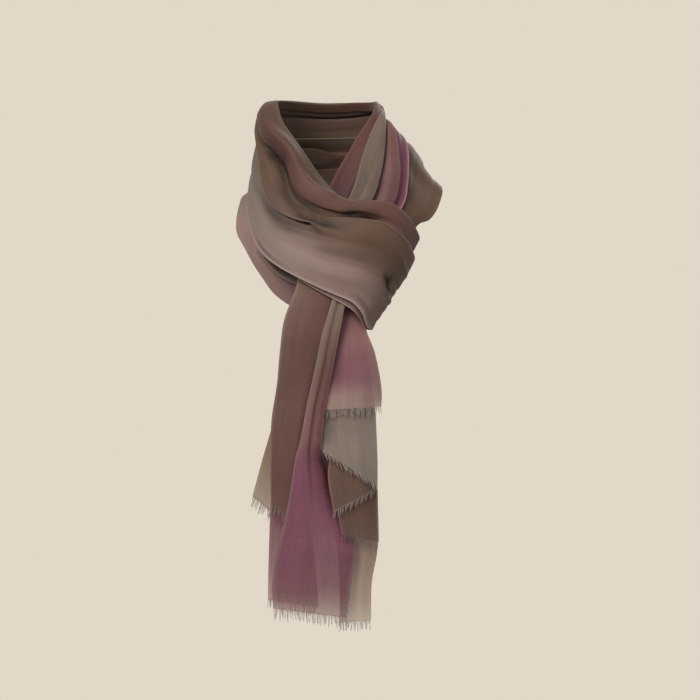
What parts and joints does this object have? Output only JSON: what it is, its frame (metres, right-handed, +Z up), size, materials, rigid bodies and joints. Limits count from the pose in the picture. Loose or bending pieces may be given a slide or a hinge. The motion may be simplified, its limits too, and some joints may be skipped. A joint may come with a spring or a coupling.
{
  "type": "organza scarf",
  "caption": "Sheer fringed scarf, folded in half and worn round a neck with both ends pulled through its own loop so that they hang down the front.",
  "frame": {"origin": "middle of the neck opening, level with the foot of the neck", "axes": "+Z up along the neck, -Y to the front where the ends hang, +X to the right of someone who faces the scarf"},
  "size_m": [0.1981, 0.1995, 0.5077],
  "materials": {
    "front_band": "sheer",
    "bight": "sheer",
    "back_strand": "sheer",
    "nape_upper": "sheer",
    "nape_lower": "sheer",
    "neck_strands": "sheer",
    "shoulder_fold": "sheer",
    "tail_left": "sheer",
    "tail_plum": "sheer",
    "tail_pink": "sheer",
    "tail_grey": "sheer",
    "tail_brown": "sheer",
    "tail_brown_back": "sheer",
    "tail_sheer": "sheer",
    "tail_under": "sheer",
    "flap_left": "sheer",
    "fringe_brown": "sheer",
    "fringe_brown_back": "sheer",
    "fringe_flap_left": "sheer",
    "fringe_grey": "sheer",
    "fringe_left": "sheer",
    "fringe_pink": "sheer",
    "fringe_plum": "sheer",
    "fringe_sheer": "sheer",
    "fringe_under": "sheer"
  },
  "bodies": {
    "root": {"front_band": "front_band", "bight": "bight", "back_strand": "back_strand", "nape_upper": "nape_upper", "nape_lower": "nape_lower", "neck_strands": "neck_strands", "shoulder_fold": "shoulder_fold", "tail_left": "tail_left", "tail_plum": "tail_plum", "tail_pink": "tail_pink", "tail_grey": "tail_grey", "tail_brown": "tail_brown", "tail_brown_back": "tail_brown_back", "tail_sheer": "tail_sheer", "tail_under": "tail_under", "flap_left": "flap_left", "fringe_brown": "fringe_brown", "fringe_brown_back": "fringe_brown_back", "fringe_flap_left": "fringe_flap_left", "fringe_grey": "fringe_grey", "fringe_left": "fringe_left", "fringe_pink": "fringe_pink", "fringe_plum": "fringe_plum", "fringe_sheer": "fringe_sheer", "fringe_under": "fringe_under"}
  },
  "joints": []
}
